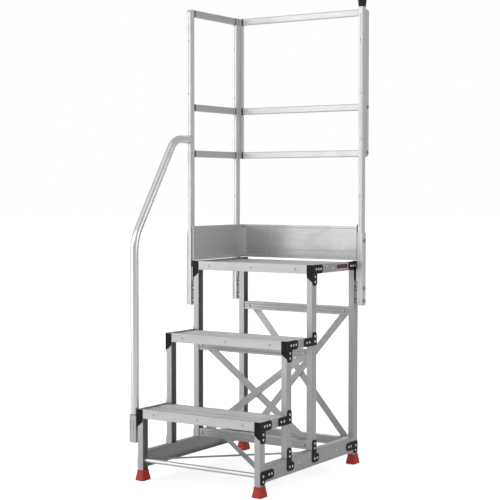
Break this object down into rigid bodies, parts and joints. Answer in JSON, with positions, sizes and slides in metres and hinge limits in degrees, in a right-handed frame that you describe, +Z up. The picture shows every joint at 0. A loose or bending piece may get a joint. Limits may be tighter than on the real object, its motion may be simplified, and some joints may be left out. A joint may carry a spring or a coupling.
{
  "type": "step work platform",
  "caption": "Low aluminium work platform climbed by steps between its two side frames, with a guard and toe board round two sides of the deck and a bent tube handrail up one side.",
  "frame": {"origin": "centre of the overall box at floor level, under the feet", "axes": "+Z up, +Y from the first step towards the back guard, +X to the right of a person climbing"},
  "size_m": [0.696, 0.8322, 2.05],
  "materials": {
    "frame_aluminium": "satin mill finish",
    "tread_aluminium": "ribbed, dull",
    "guard_aluminium": "pale satin",
    "handrail_aluminium": "smooth satin",
    "black_bracket": "semi-gloss black powder coat",
    "rivet_aluminium": "smooth",
    "fastener_steel": "zinc plated",
    "foot_rubber": "matt red-orange",
    "black_rubber": "matt black",
    "fitting_plastic": "dark grey"
  },
  "bodies": {
    "root": {"back_guard_rail_low": "guard_aluminium", "back_guard_rail_mid": "guard_aluminium", "back_guard_rail_top": "guard_aluminium", "back_guard_upright_left": "guard_aluminium", "back_guard_upright_right": "guard_aluminium", "base_brackets": "black_bracket", "bottom_beam_left": "frame_aluminium", "bottom_beam_right": "frame_aluminium", "brace_rear_rising_left": "frame_aluminium", "brace_rear_rising_right": "frame_aluminium", "brace_third_rising_left": "frame_aluminium", "brace_third_rising_right": "frame_aluminium", "bracket_rivets": "rivet_aluminium", "floor_brace_lower": "frame_aluminium", "floor_brace_upper": "frame_aluminium", "foot_front_left": "foot_rubber", "foot_front_right": "foot_rubber", "foot_rear_left": "foot_rubber", "foot_rear_right": "foot_rubber", "frame_screws": "fastener_steel", "front_tie_tube": "frame_aluminium", "guard_fasteners": "fastener_steel", "guard_post_front_left": "guard_aluminium", "guard_post_rear_left": "guard_aluminium", "guard_post_rear_right": "guard_aluminium", "guard_socket_front_left": "guard_aluminium", "guard_socket_rear_left": "guard_aluminium", "guard_socket_rear_right": "guard_aluminium", "handrail": "handrail_aluminium", "handrail_socket": "guard_aluminium", "leg_front_left": "frame_aluminium", "leg_front_right": "frame_aluminium", "leg_joint_brackets": "black_bracket", "leg_rear_left": "frame_aluminium", "leg_rear_right": "frame_aluminium", "leg_second_left": "frame_aluminium", "leg_second_right": "frame_aluminium", "leg_third_left": "frame_aluminium", "leg_third_right": "frame_aluminium", "lower_step_rail_left": "frame_aluminium", "lower_step_rail_right": "frame_aluminium", "middle_step_rail_left": "frame_aluminium", "middle_step_rail_right": "frame_aluminium", "platform_deck": "tread_aluminium", "platform_rail_left": "frame_aluminium", "platform_rail_right": "frame_aluminium", "post_cap": "black_rubber", "side_guard_rail_low": "guard_aluminium", "side_guard_rail_mid": "guard_aluminium", "side_guard_rail_top": "guard_aluminium", "tie_rear_lower": "frame_aluminium", "tie_rear_upper": "frame_aluminium", "tie_third_lower": "frame_aluminium", "tie_third_upper": "frame_aluminium", "toe_board_back": "guard_aluminium", "toe_board_fittings": "fitting_plastic", "toe_board_left": "guard_aluminium", "tread_corner_brackets": "black_bracket", "tread_lower": "tread_aluminium", "tread_middle": "tread_aluminium"}
  },
  "joints": []
}
